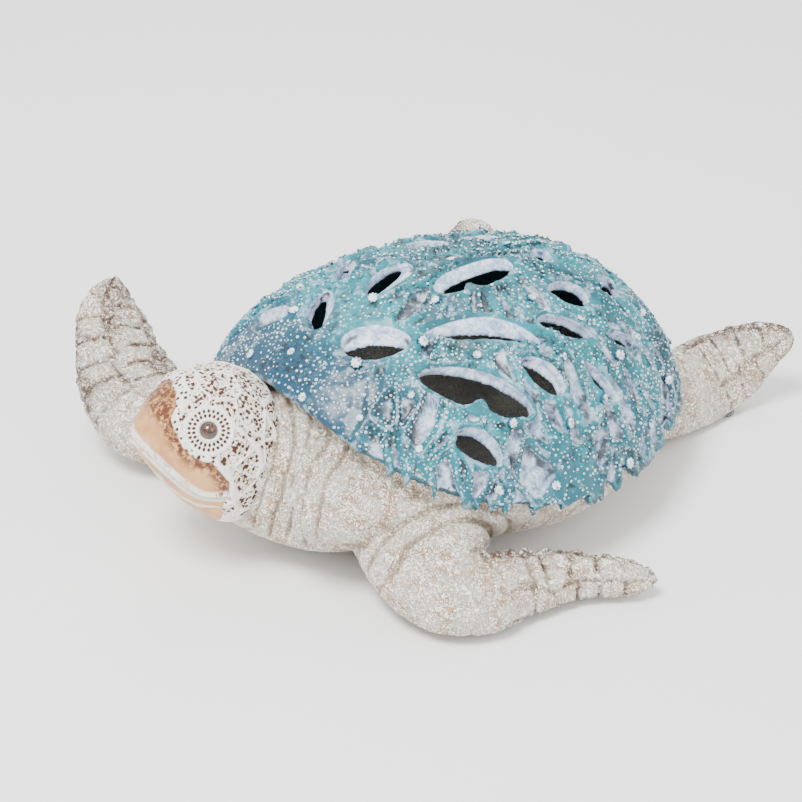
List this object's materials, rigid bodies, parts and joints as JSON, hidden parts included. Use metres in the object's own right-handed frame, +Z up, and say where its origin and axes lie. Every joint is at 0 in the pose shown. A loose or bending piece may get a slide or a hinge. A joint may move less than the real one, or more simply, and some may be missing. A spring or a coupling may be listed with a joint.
{
  "type": "sea turtle figurine",
  "caption": "Cast sea turtle table figure with a hollow domed shell pierced by oval windows, one raised and one swept flipper, standing on clear bumper pads.",
  "frame": {"origin": "on the ground under the middle of the whole figure's box", "axes": "+Z up, the head looks along -Y, the turtle's left side is +X"},
  "size_m": [0.278, 0.3092, 0.102],
  "materials": {
    "sand_body": "matt whitewashed cast resin with tan and brown wash in the hollows",
    "blue_shell": "satin turquoise paint over cast resin, white brushed relief and dark wash",
    "clear_pad": "clear soft rubber"
  },
  "bodies": {
    "root": {"body": "sand_body", "carapace": "blue_shell", "pad_front_left": "clear_pad", "pad_front_right": "clear_pad", "pad_hind_left": "clear_pad", "pad_hind_right": "clear_pad"}
  },
  "joints": []
}
